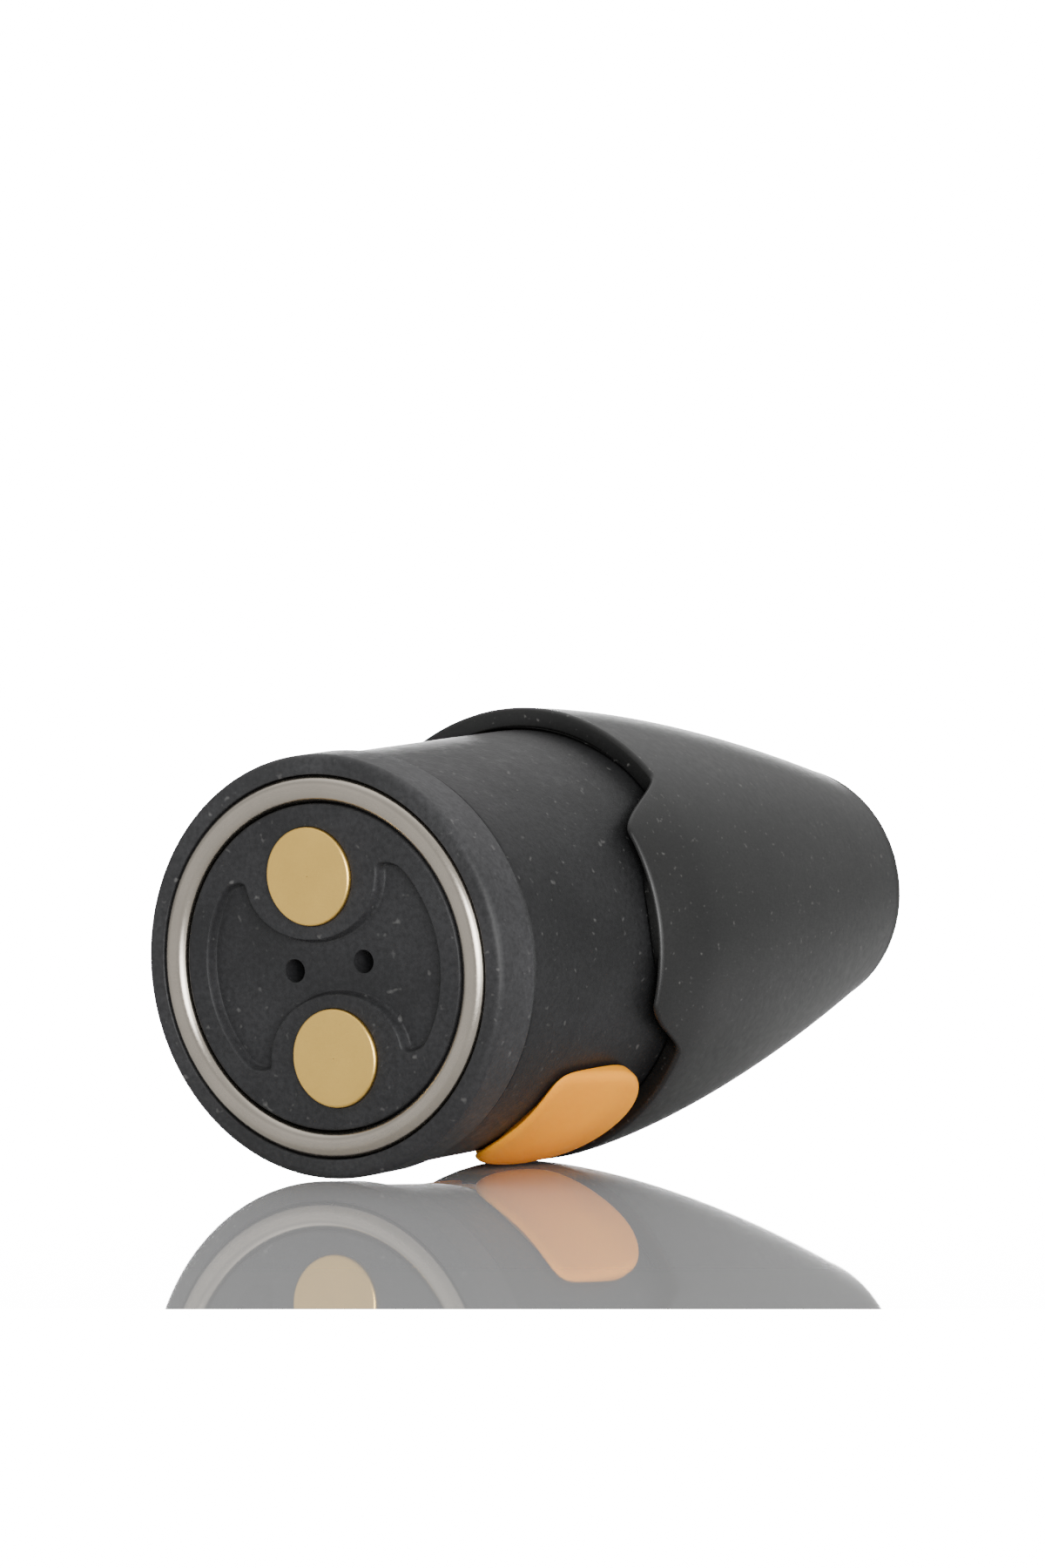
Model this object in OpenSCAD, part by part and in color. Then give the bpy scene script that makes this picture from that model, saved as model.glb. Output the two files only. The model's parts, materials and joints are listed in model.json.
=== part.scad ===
// Refillable vaporizer pod: a round cartridge with a bullet-shaped mouthpiece shell,
// a side fill port with a hinged silicone plug, and a magnetic contact base.
// The pod stands on its contact face: z = 0 is the face of the magnet ring, +Z runs to the mouth.

/* [Pod] */
// Overall length, contact face to mouth
pod_length = 39; // [36:0.5:42]
// Outside radius of the base cap, which is what enters the device
cap_r = 9; // [8.9:0.05:9.2]
// Outside radius of the tank where it shows below the shell
tank_r = 8.84; // [8.8:0.01:8.84]
// Thickness of the tank wall
tank_wall = 1; // [0.9:0.05:1.1]

/* [Base] */
// How far the magnet ring and the contacts stand proud of the cap face
contact_proud = 0.2; // [0.15:0.05:0.4]
// Height of the seam between the base cap and the tank
seam_z = 2.9; // [2.8:0.1:3.2]
// Outside radius of the magnet ring
ring_r = 8.1; // [8:0.05:8.2]
// Inside radius of the magnet ring
ring_bore_r = 7; // [6.9:0.05:7.1]
// Radius of a round electrical contact
pad_r = 2.1; // [1.9:0.05:2.15]
// Distance of each contact from the pod's axis
pad_offset = 3.87; // [3.8:0.01:3.9]
// Radius of an air inlet hole
air_hole_r = 0.5; // [0.4:0.05:0.6]
// Distance of each air inlet from the pod's axis
air_hole_offset = 1.77; // [1.6:0.01:1.9]
// Depth of the bow-tie recess around the air inlets
recess_depth = 0.5; // [0.4:0.05:0.6]

/* [Shell] */
// Largest outside radius of the mouthpiece shell
belly_r = 9.82; // [9.7:0.02:9.9]
// Height of the shell's widest ring
belly_z = 15.5; // [15:0.1:16]
// Outside radius at the edge of the mouth end
mouth_r = 5.45; // [5.2:0.05:5.8]
// Fullness of the taper, where 1 is a straight cone
taper_power = 1.45; // [1.3:0.05:1.7]
// Radius of the air outlet in the mouth end
outlet_r = 2; // [1.6:0.1:2.2]
// Height of the edge of each side tongue
tongue_z = 11.9; // [11.5:0.1:12.5]
// Height of the shell's edge over the fill port
fill_window_z = 15.2; // [15:0.1:15.8]
// Height of the shell's edge on the plain side
plain_window_z = 16.3; // [15.5:0.1:16.5]

/* [Fill port] */
// Angle of the plug's middle around the pod
plug_angle = 66.5; // [64:0.5:68]
// Height of the plug's middle
plug_z = 10.4; // [10.2:0.1:10.5]
// Width of the plug around the pod
plug_width = 8.1; // [7.6:0.1:8.2]
// Height of the plug along the pod
plug_height = 7.6; // [7:0.1:7.7]
// Radius of the fill hole through the tank wall
fill_hole_r = 1.45; // [1.4:0.01:1.5]
// Radius of the plug's stem
stem_r = 1.15; // [1.1:0.01:1.16]

/* [Coil] */
// Outside radius of the coil housing
coil_r = 3.4; // [3.3:0.05:3.5]
// Bore radius of the heated core
core_r = 1.6; // [1.4:0.05:1.65]
// Outside radius of the chimney tube
chimney_r = 1.95; // [1.9:0.01:2]

/* [Hidden] */
$fn = 96;

eps = 0.01;                              // Overrun of a cut past the face it opens
fit_gap = 0.02;                          // Gap between pieces that are pressed together
tank_bore_r = tank_r - tank_wall;

// Base stack
face_z = contact_proud;                  // Face of the cap and of the insert
cap_round = 0.35;
ring_seat_z = 2;                         // Bottom of the groove that holds the ring
ring_edge = 0.25;
cap_collar_z = 5.2;                      // Top of the collar that enters the tank
cap_collar_r = tank_bore_r - 0.08;
cap_collar_wall = 1.05;
gasket_z = 3.9;
gasket_height = 0.8;
gasket_depth = 0.5;
insert_flange_r = ring_bore_r - 0.08;
insert_boss_r = 5.4;
insert_top_z = 3.4;
pad_thickness = 0.9;
pad_stem_r = 1.1;
socket_bore_r = coil_r + 0.45;           // Socket in the cap that holds the coil
socket_wall = 0.85;
socket_top_z = 6.6;
leak_pad_height = 0.95;

// Bow-tie recess
recess_r = 5.85;
boss_r = 2.85;
wing_x = 3.45;
wing_y = 3.95;

// Shell
shell_wall = 0.85;
lip_bore_r = tank_r + 0.1;
shoulder_z = 16;                         // Where the shell's bore starts to taper
mouth_round = 0.6;
skirt_flare = 0.4;                       // How much the shell narrows below its belly
skirt_run = 4.5;
shell_steps = 22;
shell_foot_z = 11;                       // Below this the shell has no material
spigot_r = 3;
spigot_z = 29.6;
mouth_wall_z = pod_length - 2.4;
corner_x = 7.7;                          // Where each window's corner falls across the pod
ramp_x = 8.95;
corner_drop = 0.55;
window_steps = 8;
far = 20;

// Snap ribs that hold the shell on the tank
rib_z = 15.4;
rib_height = 0.9;
rib_proud = 0.25;
rib_angle = 18;

// Tank
tank_foot_z = seam_z + 0.05;
tank_taper_z = 16.4;                     // The tank narrows from here, inside the shell
tank_shoulder_r = 8.4;
tank_shoulder_z = 19.2;
tank_neck_z = 23.4;
tank_neck_r = 6.7;
tank_top_z = 25;
tank_top_wall = 1.1;
tank_hole_r = 2.6;

// Plug and its strap
plug_corner_r = 1.3;
plug_across = 8;                         // Across the two corners that are taken off
plug_inner_r = tank_r + 0.09;
plug_low_r = 9.2;                        // Plug face at its base-side edge
plug_high_r = 9.76;                      // Plug face at its mouth-side edge, level with the shell
stem_inner_r = tank_bore_r - 0.05;
strap_inner_r = tank_r - 0.43;           // The strap lies flush in a groove in the tank
strap_outer_r = tank_r - 0.02;
strap_width = 3.2;
strap_foot_angle = 84;                   // Where the strap leaves the plug's underside
strap_foot_run = 2;                      // Clear angle for the strap's foot to swing out
hinge_angle = 96;
knuckle_r = 0.22;                        // The strap turns on this rounded end
knuckle_clear = 2.5;                     // Angle from the knuckle's axis to the fixed strap
groove_gap = 0.06;
anchor_angle = 111;
anchor_head_r = 1.7;
anchor_stem_r = 0.7;
anchor_barb_r = 1;
anchor_barb_depth = 0.5;

// Coil stack
coil_foot_z = 3.9;
coil_top_z = 15;
coil_wall = 0.45;
coil_bore_r = coil_r - coil_wall;
port_r = 1.1;
port_z = 9.3;
insulator_top_z = 5.2;
lead_r = 0.2;
lead_hole_r = 0.24;
lead_reach_r = core_r + 0.35;
mesh_wall = 0.1;
mesh_z = 6.2;
mesh_height = 6.2;
mesh_rows = 6;
mesh_spokes = 4;
mesh_hole_r = 0.32;
wick_z = 5.4;
wick_height = 7.9;
cap_plug_z = 13.5;
cap_flange_z = 15.8;
cap_neck_z = 17.6;
cap_neck_r = 2.45;
ring_section_r = 0.32;
skirt_r = 3.45;
skirt_top_z = 18.2;
chimney_bore_r = chimney_r - 0.35;
chimney_foot_z = 14.6;
chimney_top_z = 30.8;

// Sampled outside radius of the shell at height z
function shell_r(z) =
    z < belly_z
    ? belly_r - skirt_flare * pow((belly_z - z) / skirt_run, 2)
    : belly_r - (belly_r - mouth_r) * pow((z - belly_z) / (pod_length - mouth_round - belly_z), taper_power);

// Height of a window's edge at distance x across the pod
function window_edge(x, top) = top - corner_drop * pow(x / corner_x, 2);

// Revolves a closed outline given as [radius, height] points
module turned(points) {
    rotate_extrude() polygon(points);
}

// Puts a flat shape on the tank wall: its x runs round the pod, its y up, its thickness outward
module radial(angle, height) {
    rotate([0, 0, angle]) translate([0, 0, height]) rotate([90, 0, 90]) children();
}

// A tube from z0 to z1
module tube(outer, inner, z0, z1) {
    turned([[inner, z0], [outer, z0], [outer, z1], [inner, z1]]);
}

// A ring of round section
module o_ring(middle_r, section_r, height) {
    translate([0, 0, height]) rotate_extrude() translate([middle_r, 0]) circle(r = section_r, $fn = 48);
}

// Plug outline: a rounded rectangle with two opposite corners taken off
module plug_outline() {
    corner = plug_corner_r;
    intersection() {
        union() {
            square([plug_width - 2 * corner, plug_height], center = true);
            square([plug_width, plug_height - 2 * corner], center = true);
            for (x = [-1, 1], y = [-1, 1])
                translate([x * (plug_width / 2 - corner), y * (plug_height / 2 - corner)])
                    circle(r = corner);
        }
        rotate([0, 0, 45]) square([far, plug_across], center = true);
    }
}

// Quarter-round points from the side of a turned piece onto its end face
function edge_round(r, z, round, from, to, steps = 6) =
    [for (i = [0:steps]) let (a = from + (to - from) * i / steps) [r + round * cos(a), z + round * sin(a)]];

module shell_revolved() {
    mouth_z = pod_length - mouth_round;
    outside = [for (i = [0:shell_steps])
        let (z = shell_foot_z + (mouth_z - shell_foot_z) * i / shell_steps) [shell_r(z), z]];
    mouth_edge = edge_round(mouth_r - mouth_round, mouth_z, mouth_round, 15, 90);
    inside_steps = 10;
    inside = [for (i = [inside_steps:-1:0])
        let (z = shoulder_z + (mouth_wall_z - shoulder_z) * i / inside_steps)
        [min(lip_bore_r, shell_r(z) - shell_wall), z]];
    turned(concat(
        outside,
        mouth_edge,
        [[outlet_r, pod_length], [outlet_r, spigot_z], [spigot_r, spigot_z], [spigot_r, mouth_wall_z]],
        inside,
        [[lip_bore_r, shell_foot_z]]
    ));
}

// Prism that clears the shell below one window, on the side given by sign
module window_cut(top, sign) {
    edge = [for (i = [-window_steps:window_steps])
        let (x = corner_x * i / window_steps) [x, window_edge(x, top)]];
    rotate([90, 0, 0]) mirror([0, 0, sign > 0 ? 1 : 0]) linear_extrude(far)
        polygon(concat([[-far, 0], [-far, tongue_z], [-ramp_x, tongue_z]], edge,
            [[ramp_x, tongue_z], [far, tongue_z], [far, 0]]));
}

module mouthpiece_shell() {
    color([0.2, 0.2, 0.2]) difference() {
        shell_revolved();
        window_cut(fill_window_z, 1);
        window_cut(plain_window_z, -1);
        for (side = [0, 180]) snap_rib(side, rib_proud + 0.1, rib_height + 0.2, rib_angle + 2);
    }
}

// One raised rib on the tank, centred on angle, and, slightly larger, its pocket in the shell
module snap_rib(angle, proud, height, span) {
    rotate([0, 0, angle - span / 2]) rotate_extrude(angle = span)
        translate([tank_r - 0.2, rib_z - height / 2]) square([proud + 0.2, height]);
}

module tank_body() {
    neck_bore_r = tank_neck_r - tank_wall;
    shoulder_bore_r = tank_shoulder_r - tank_wall;
    color([0.13, 0.13, 0.13]) difference() {
        union() {
            turned([
                [tank_bore_r, tank_foot_z], [tank_r, tank_foot_z], [tank_r, tank_taper_z],
                [tank_shoulder_r, tank_shoulder_z], [tank_neck_r, tank_neck_z],
                [tank_neck_r, tank_top_z], [tank_hole_r, tank_top_z],
                [tank_hole_r, tank_top_z - tank_top_wall], [neck_bore_r, tank_top_z - tank_top_wall],
                [neck_bore_r, tank_neck_z], [shoulder_bore_r, tank_shoulder_z],
                [tank_bore_r, tank_taper_z]
            ]);
            for (side = [0, 180]) snap_rib(side, rib_proud, rib_height, rib_angle);
        }
        radial(plug_angle, plug_z) linear_extrude(far) circle(r = fill_hole_r);
        radial(anchor_angle, plug_z) linear_extrude(far) circle(r = anchor_stem_r + fit_gap);
        intersection() {
            radial(anchor_angle, plug_z) linear_extrude(far) circle(r = anchor_head_r + groove_gap);
            tube(cap_r, strap_inner_r - 2 * groove_gap, 0, far);
        }
        rotate([0, 0, strap_foot_angle - strap_foot_run])
            rotate_extrude(angle = anchor_angle - strap_foot_angle + strap_foot_run)
            translate([strap_inner_r - groove_gap, plug_z - strap_width / 2 - groove_gap])
            square([2, strap_width + 2 * groove_gap]);
    }
}

module base_cap() {
    collar_bore_r = cap_collar_r - cap_collar_wall;
    insert_hole_r = insert_boss_r + 0.05;
    color([0.14, 0.14, 0.14]) difference() {
        union() {
            turned(concat(
                [[insert_hole_r, ring_seat_z], [ring_r + 0.05, ring_seat_z], [ring_r + 0.05, face_z]],
                edge_round(cap_r - cap_round, face_z + cap_round, cap_round, -90, 0),
                [[cap_r, seam_z], [cap_collar_r, seam_z], [cap_collar_r, cap_collar_z],
                 [collar_bore_r, cap_collar_z], [collar_bore_r, seam_z], [insert_hole_r, seam_z]]
            ));
            tube(socket_bore_r + socket_wall, socket_bore_r, insert_top_z + 0.05, socket_top_z);
            tube(collar_bore_r + 0.3, socket_bore_r, insert_top_z + 0.05, insert_top_z + 0.5);
        }
        tube(cap_collar_r + 1, cap_collar_r - gasket_depth, gasket_z, gasket_z + gasket_height);
    }
}

module magnet_ring() {
    color([0.78, 0.75, 0.7]) turned([
        [ring_bore_r + ring_edge, 0], [ring_r - ring_edge, 0], [ring_r, ring_edge],
        [ring_r, ring_seat_z - fit_gap], [ring_bore_r, ring_seat_z - fit_gap], [ring_bore_r, ring_edge]
    ]);
}

// Outline of the recess: a disc less the two bosses that carry the contacts
module bow_tie() {
    difference() {
        circle(r = recess_r);
        for (side = [-1, 1]) scale([1, side]) {
            translate([0, pad_offset]) circle(r = boss_r);
            polygon([[-1.6, pad_offset - 1.9], [-wing_x, wing_y], [-wing_x, far],
                [wing_x, far], [wing_x, wing_y], [1.6, pad_offset - 1.9]]);
        }
    }
}

module contact_insert() {
    color([0.12, 0.12, 0.13]) difference() {
        turned([
            [0, face_z], [insert_flange_r, face_z], [insert_flange_r, ring_seat_z - fit_gap],
            [insert_boss_r, ring_seat_z - fit_gap], [insert_boss_r, insert_top_z], [0, insert_top_z]
        ]);
        translate([0, 0, face_z - eps]) linear_extrude(recess_depth + eps) bow_tie();
        for (side = [-1, 1]) {
            translate([0, side * pad_offset, face_z - eps])
                cylinder(r = pad_r + fit_gap, h = pad_thickness - face_z + eps);
            translate([0, side * pad_offset, 0]) cylinder(r = pad_stem_r + fit_gap, h = far);
            translate([side * air_hole_offset, 0, 0]) cylinder(r = air_hole_r, h = far);
        }
    }
}

module contact(side) {
    color([0.72, 0.58, 0.28]) translate([0, side * pad_offset, 0]) turned([
        [0, 0], [pad_r - 0.12, 0], [pad_r, 0.12], [pad_r, pad_thickness - fit_gap],
        [pad_stem_r, pad_thickness - fit_gap], [pad_stem_r, insert_top_z], [0, insert_top_z]
    ]);
}

module contact_positive() { contact(1); }

module contact_negative() { contact(-1); }

module base_gasket() {
    color([0.85, 0.5, 0.2])
        tube(tank_bore_r - fit_gap, cap_collar_r - gasket_depth + fit_gap,
            gasket_z + fit_gap, gasket_z + gasket_height - fit_gap);
}

module leak_pad() {
    collar_bore_r = cap_collar_r - cap_collar_wall;
    color([0.93, 0.91, 0.86])
        tube(collar_bore_r - fit_gap, socket_bore_r + socket_wall + fit_gap,
            insert_top_z + 0.5 + fit_gap, insert_top_z + 0.5 + leak_pad_height);
}

module coil_insulator() {
    color([0.86, 0.84, 0.8]) difference() {
        tube(coil_bore_r - fit_gap, core_r - 0.4, coil_foot_z, insulator_top_z);
        for (side = [-1, 1])
            translate([0, side * lead_reach_r, 0]) cylinder(r = lead_hole_r, h = far, $fn = 24);
    }
}

module coil_housing() {
    color([0.75, 0.76, 0.78]) difference() {
        tube(coil_r, coil_bore_r, coil_foot_z, coil_top_z);
        for (angle = [45, 135])
            rotate([0, 0, angle]) translate([0, 0, port_z]) rotate([0, 90, 0])
                cylinder(r = port_r, h = far, center = true);
    }
}

module wick_cotton() {
    color([0.95, 0.94, 0.9]) difference() {
        tube(coil_bore_r - fit_gap, core_r + mesh_wall + fit_gap, wick_z, wick_z + wick_height);
        for (side = [-1, 1])
            translate([0, side * lead_reach_r, 0]) cylinder(r = lead_hole_r, h = mesh_z + 0.6, $fn = 24);
    }
}

module heater_mesh() {
    pitch = mesh_height / mesh_rows;
    color([0.55, 0.5, 0.45]) difference() {
        tube(core_r + mesh_wall, core_r, mesh_z, mesh_z + mesh_height);
        for (row = [0:mesh_rows - 1], spoke = [0:mesh_spokes - 1])
            translate([0, 0, mesh_z + pitch * (row + 0.5)])
                rotate([0, 90, 180 / mesh_spokes * (spoke + 0.5 * (row % 2)) + 22.5])
                cylinder(r = mesh_hole_r, h = far, center = true, $fn = 24);
    }
}

// A wire from a contact's stem, in under the coil and up beside the heater
module lead(side) {
    turn_z = insert_top_z + lead_r;
    rise = mesh_z + 0.5 - turn_z;
    color([0.8, 0.8, 0.82]) {
        translate([0, side * lead_reach_r, turn_z]) {
            cylinder(r = lead_r, h = rise, $fn = 24);
            sphere(r = lead_r, $fn = 24);
            rotate([-side * 90, 0, 0])
                cylinder(r = lead_r, h = pad_offset - lead_reach_r, $fn = 24);
        }
    }
}

module lead_positive() { lead(1); }

module lead_negative() { lead(-1); }

module coil_o_ring_lower() {
    color([0.8, 0.45, 0.15]) o_ring(coil_r + ring_section_r / 2 + 0.065, 0.22, 5.6);
}

module coil_o_ring_upper() {
    color([0.8, 0.45, 0.15]) o_ring((cap_neck_r + skirt_r - coil_wall) / 2 + 0.01, 0.25, 16.8);
}

module coil_top_cap() {
    color([0.75, 0.7, 0.55]) turned([
        [core_r, cap_plug_z], [coil_bore_r - fit_gap, cap_plug_z], [coil_bore_r - fit_gap, coil_top_z],
        [coil_r, coil_top_z + fit_gap], [coil_r, cap_flange_z], [cap_neck_r, cap_flange_z],
        [cap_neck_r, cap_neck_z], [chimney_r + fit_gap, cap_neck_z],
        [chimney_r + fit_gap, chimney_foot_z - fit_gap], [core_r, chimney_foot_z - fit_gap]
    ]);
}

module chimney_tube() {
    skirt_foot_z = cap_flange_z + fit_gap;
    skirt_bore_r = skirt_r - coil_wall;
    color([0.78, 0.79, 0.8]) turned([
        [chimney_bore_r, chimney_foot_z], [chimney_r, chimney_foot_z], [chimney_r, cap_neck_z + 0.1],
        [skirt_bore_r, cap_neck_z + 0.1], [skirt_bore_r, skirt_foot_z], [skirt_r, skirt_foot_z],
        [skirt_r, skirt_top_z], [chimney_r, skirt_top_z + 0.6], [chimney_r, chimney_top_z],
        [chimney_bore_r, chimney_top_z]
    ]);
}

module top_seal() {
    seal_r = 6;
    seal_height = 1.3;
    color([0.85, 0.5, 0.2]) turned([
        [chimney_r + fit_gap, tank_top_z - tank_top_wall], [tank_hole_r - fit_gap, tank_top_z - tank_top_wall],
        [tank_hole_r - fit_gap, tank_top_z + fit_gap], [seal_r, tank_top_z + fit_gap],
        [seal_r, tank_top_z + seal_height], [chimney_r + 1, tank_top_z + seal_height],
        [chimney_r + 0.8, tank_top_z + 2.4], [chimney_r + fit_gap, tank_top_z + 2.4]
    ]);
}

// Two half rings of cotton that catch condensation under the mouth
module condensate_pads() {
    pad_z = 31;
    pad_height = 2.6;
    split = 0.6;
    color([0.94, 0.93, 0.9]) difference() {
        tube(5.6, spigot_r + 0.1, pad_z, pad_z + pad_height);
        translate([-far, -split / 2, 0]) cube([2 * far, split, 2 * far]);
    }
}

// Slice of the plug's skin across its thickness, revolved round the pod's axis: low at its
// base-side edge, and level with the shell at its mouth-side edge
module plug_skin() {
    low_z = plug_z - plug_height / 2 - 1;
    high_z = plug_z + plug_height / 2 + 1;
    turned([
        [plug_inner_r, low_z], [plug_low_r, low_z], [plug_high_r, plug_z], [plug_high_r, high_z],
        [plug_inner_r, high_z]
    ]);
}

// A stretch of strap between two angles round the pod
module strap_arc(from, to, inner_r, outer_r, width) {
    rotate([0, 0, from]) rotate_extrude(angle = to - from)
        translate([inner_r, plug_z - width / 2]) square([outer_r - inner_r, width]);
}

module fill_plug() {
    color([0.95, 0.58, 0.2]) {
        intersection() {
            plug_skin();
            radial(plug_angle, plug_z) linear_extrude(far) plug_outline();
        }
        strap_arc(strap_foot_angle, hinge_angle, strap_inner_r, strap_outer_r, strap_width);
        rotate([0, 0, hinge_angle])
            translate([(strap_inner_r + strap_outer_r) / 2, 0, plug_z - strap_width / 2])
            cylinder(r = knuckle_r, h = strap_width, $fn = 24);
        strap_arc(strap_foot_angle + 1, strap_foot_angle + 5, strap_inner_r + 0.1, plug_inner_r + 0.15,
            strap_width - 0.3);
        intersection() {
            radial(plug_angle, plug_z) linear_extrude(far) circle(r = stem_r);
            tube(plug_inner_r + 0.1, stem_inner_r, 0, far);
        }
    }
}

module plug_anchor() {
    color([0.95, 0.58, 0.2]) {
        strap_arc(hinge_angle + knuckle_clear, anchor_angle, strap_inner_r, strap_outer_r, strap_width);
        intersection() {
            radial(anchor_angle, plug_z) linear_extrude(far) circle(r = anchor_head_r);
            tube(strap_outer_r + 0.01, strap_inner_r - groove_gap / 2, 0, far);
        }
        radial(anchor_angle, plug_z) {
            translate([0, 0, tank_bore_r - anchor_barb_depth])
                cylinder(r = anchor_stem_r, h = strap_inner_r - tank_bore_r + anchor_barb_depth + 0.2);
            translate([0, 0, tank_bore_r - anchor_barb_depth - 0.1])
                cylinder(r = anchor_barb_r, h = anchor_barb_depth);
        }
    }
}

mouthpiece_shell();
tank_body();
base_cap();
magnet_ring();
contact_insert();
contact_positive();
contact_negative();
base_gasket();
leak_pad();
coil_insulator();
coil_housing();
wick_cotton();
heater_mesh();
lead_positive();
lead_negative();
coil_o_ring_lower();
coil_o_ring_upper();
coil_top_cap();
chimney_tube();
top_seal();
condensate_pads();
fill_plug();
plug_anchor();
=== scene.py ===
"""Looks for a refillable vaporizer pod: finer meshes, materials, stage, lights and camera."""
import json
import math

import bmesh
import bpy
from mathutils import Matrix, Vector


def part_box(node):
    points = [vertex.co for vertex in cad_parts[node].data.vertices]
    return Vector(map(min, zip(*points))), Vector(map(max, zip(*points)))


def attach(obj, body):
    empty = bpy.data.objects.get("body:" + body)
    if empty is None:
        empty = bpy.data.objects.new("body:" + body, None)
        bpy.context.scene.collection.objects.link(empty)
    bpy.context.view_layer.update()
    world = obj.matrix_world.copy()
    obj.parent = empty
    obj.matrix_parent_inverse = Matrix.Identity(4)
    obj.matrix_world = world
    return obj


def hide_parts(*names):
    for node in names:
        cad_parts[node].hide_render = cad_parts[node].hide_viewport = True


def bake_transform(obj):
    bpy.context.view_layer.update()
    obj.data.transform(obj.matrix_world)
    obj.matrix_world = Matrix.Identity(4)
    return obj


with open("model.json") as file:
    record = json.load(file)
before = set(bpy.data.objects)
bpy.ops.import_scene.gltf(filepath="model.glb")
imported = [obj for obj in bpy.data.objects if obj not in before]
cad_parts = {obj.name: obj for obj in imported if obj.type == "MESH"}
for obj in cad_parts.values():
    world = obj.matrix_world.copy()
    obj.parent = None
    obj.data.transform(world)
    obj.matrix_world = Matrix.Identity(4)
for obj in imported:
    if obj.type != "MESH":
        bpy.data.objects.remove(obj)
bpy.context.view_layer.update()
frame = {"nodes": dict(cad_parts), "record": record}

MM = 0.001
TAU = 2 * math.pi


# ---------------------------------------------------------------- dimensions, from the frame

def size(node):
    low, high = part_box(node)
    return high - low


def top(node):
    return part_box(node)[1].z


def bottom(node):
    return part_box(node)[0].z


def middle(node):
    low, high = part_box(node)
    return (low + high) / 2


POD_LENGTH = top("mouthpiece_shell")
BELLY_R = size("mouthpiece_shell").x / 2
TONGUE_Z = bottom("mouthpiece_shell")
CAP_R = size("base_cap").x / 2
CAP_FACE_Z = bottom("base_cap")
TANK_R = size("tank_body").y / 2
SEAM_Z = bottom("tank_body")
TANK_TOP_Z = top("tank_body")
RING_R = size("magnet_ring").x / 2
RING_BACK_Z = top("magnet_ring")
INSERT_R = size("contact_insert").x / 2
PAD_R = size("contact_positive").x / 2
PAD_Y = middle("contact_positive").y
PLUG_Z = middle("fill_plug").z
PLUG_HALF_HEIGHT = size("fill_plug").z / 2

# Shell
BELLY_Z = 15.5 * MM
MOUTH_R = 5.45 * MM
MOUTH_ROUND = 0.8 * MM
TAPER_POWER = 1.45
SKIRT_FLARE = 0.4 * MM
SKIRT_RUN = 4.5 * MM
SHELL_WALL = 0.85 * MM
OUTLET_R = 2 * MM
OUTLET_CHAMFER = 0.35 * MM
SPIGOT_R = 3 * MM
SPIGOT_Z = 29.6 * MM
SHOULDER_Z = 16 * MM
LIP_BORE_R = TANK_R + 0.1 * MM
FILL_WINDOW_Z = 15.2 * MM
PLAIN_WINDOW_Z = 16.3 * MM
CORNER_X = 7.7 * MM
RAMP_X = 8.95 * MM
CORNER_DROP = 0.55 * MM

# Base
CAP_ROUND = 0.35 * MM
RING_BORE_R = 7 * MM
RING_ROUND = 0.46 * MM
RECESS_DEPTH = 0.5 * MM
RECESS_R = 5.85 * MM
RECESS_Y = 3.95 * MM
BOSS = Vector((3.42 * MM, 2.75 * MM))    # half axes of the oval round each contact
BOSS_Y = 3.87 * MM
AIR_HOLE_R = 0.5 * MM
AIR_HOLE_X = 1.77 * MM

# Fill port
PLUG_ANGLE = math.radians(66.5)
PILL_ANGLE = math.radians(64.5)          # middle of the plug's head, round the pod
PILL_WIDTH = 7.4 * MM
PLUG_ACROSS = 8 * MM                     # between the two corners that are taken off
PLUG_INNER_R = TANK_R + 0.09 * MM
PLUG_MIDDLE_R = 9.4 * MM
PLUG_LOW_R = 9.2 * MM
PLUG_HIGH_R = 9.76 * MM
STEM_R = 1.15 * MM
FILL_HOLE_R = 1.45 * MM
STRAP_INNER_R = TANK_R - 0.43 * MM
STRAP_OUTER_R = TANK_R - 0.03 * MM
STRAP_HALF_WIDTH = 1.6 * MM
STRAP_START = math.radians(84)
GROOVE_START = math.radians(82)
GROOVE_GAP = 0.06 * MM
ANCHOR_ANGLE = math.radians(111)
ANCHOR_HEAD_R = 1.7 * MM
TANK_WALL = 1 * MM


# ---------------------------------------------------------------- mesh helpers

def new_object(name, vertices, faces):
    mesh = bpy.data.meshes.new(name)
    mesh.from_pydata([tuple(v) for v in vertices], [], faces)
    mesh.validate()
    made = bpy.data.objects.new(name, mesh)
    bpy.context.scene.collection.objects.link(made)
    return made


def soften(thing, crease=math.radians(40)):
    """Smooth shading, with edges sharper than crease kept crisp."""
    for polygon in thing.data.polygons:
        polygon.use_smooth = True
    thing.data.set_sharp_from_angle(angle=crease)
    return thing


def outward(thing):
    """Turns every face's normal outward."""
    mesh = bmesh.new()
    mesh.from_mesh(thing.data)
    bmesh.ops.recalc_face_normals(mesh, faces=mesh.faces)
    mesh.to_mesh(thing.data)
    mesh.free()
    return thing


def loop_faces(rows, columns, closed_rows):
    """Quads over a rows x columns grid of vertices whose columns close on themselves."""
    faces = []
    for i in range(rows if closed_rows else rows - 1):
        for j in range(columns):
            k = (j + 1) % columns
            below, above = i * columns, (i + 1) % rows * columns
            faces.append((below + j, below + k, above + k, above + j))
    return faces


def turned(name, outline, columns=256):
    """Revolves a closed outline of (radius, height) points round the pod's axis."""
    return swept(name, lambda angle: outline, len(outline), columns)


def swept(name, outline_at, rows, columns):
    """Joins closed outlines of (radius, height) points, one for each angle round the pod's axis."""
    vertices = [None] * (rows * columns)
    for j in range(columns):
        angle = TAU * j / columns
        for i, (r, z) in enumerate(outline_at(angle)):
            vertices[i * columns + j] = (r * math.cos(angle), r * math.sin(angle), z)
    made = new_object(name, vertices, loop_faces(rows, columns, True))
    return soften(outward(made))


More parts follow.
